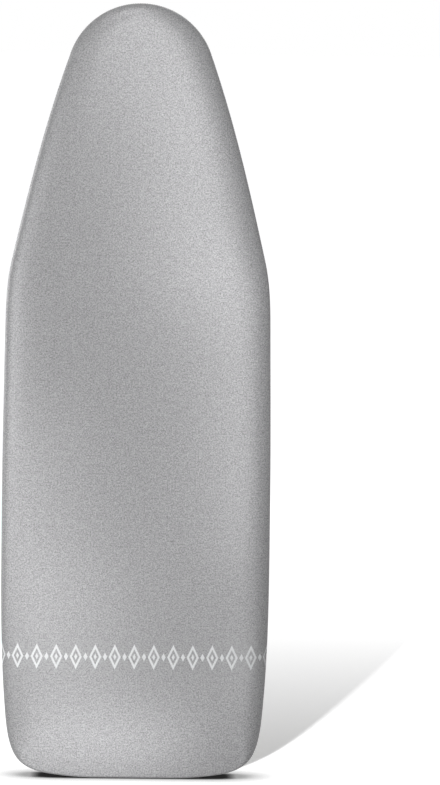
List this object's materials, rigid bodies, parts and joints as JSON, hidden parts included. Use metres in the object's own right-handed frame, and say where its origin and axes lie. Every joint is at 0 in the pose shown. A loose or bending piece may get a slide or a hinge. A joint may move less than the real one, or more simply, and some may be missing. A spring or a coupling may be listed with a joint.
{
  "type": "ironing board cover",
  "caption": "Fitted ironing board cover: silver cloth over foam and felt with a round nose and wide rear, open at the back, its gathered hem drawn in by a cord with a sprung lock.",
  "frame": {"origin": "centre of the bounding box seen from above, on the floor plane under the wide end the cover stands on", "axes": "+Z from the wide end up to the nose, -Y out of the ironing face, +Y out of the open back, +X to the right when facing the ironing face"},
  "size_m": [0.4202, 0.058, 1.21],
  "materials": {
    "metallised_cloth": "satin",
    "foam": "matte",
    "felt": "matte",
    "hem_tape": "matte",
    "cord": "matte",
    "lock_plastic": "satin",
    "plunger_plastic": "satin",
    "spring_steel": "satin"
  },
  "bodies": {
    "cover": {"outer_cloth": "metallised_cloth", "foam_pad": "foam", "felt_underlay": "felt", "border_right": "metallised_cloth", "border_left": "metallised_cloth", "hem_tunnel_right": "hem_tape", "hem_tunnel_left": "hem_tape", "drawcord": "cord"},
    "cord_lock": {"cord_lock_body": "lock_plastic", "cord_lock_spring": "spring_steel"},
    "lock_button": {"cord_lock_plunger": "plunger_plastic"}
  },
  "joints": [
    {"name": "cord_lock_slide", "type": "slide", "parent": "cover", "child": "cord_lock", "axis": [1, 0, 0], "range_m": [-0.0065, 0.0065]},
    {"name": "lock_button_press", "type": "slide", "parent": "cord_lock", "child": "lock_button", "axis": [0, 0, -1], "range_m": [0, 0.0035], "stiffness_N_per_m": 600, "springref_m": -0.002, "deforming": ["cord_lock_spring"]}
  ]
}
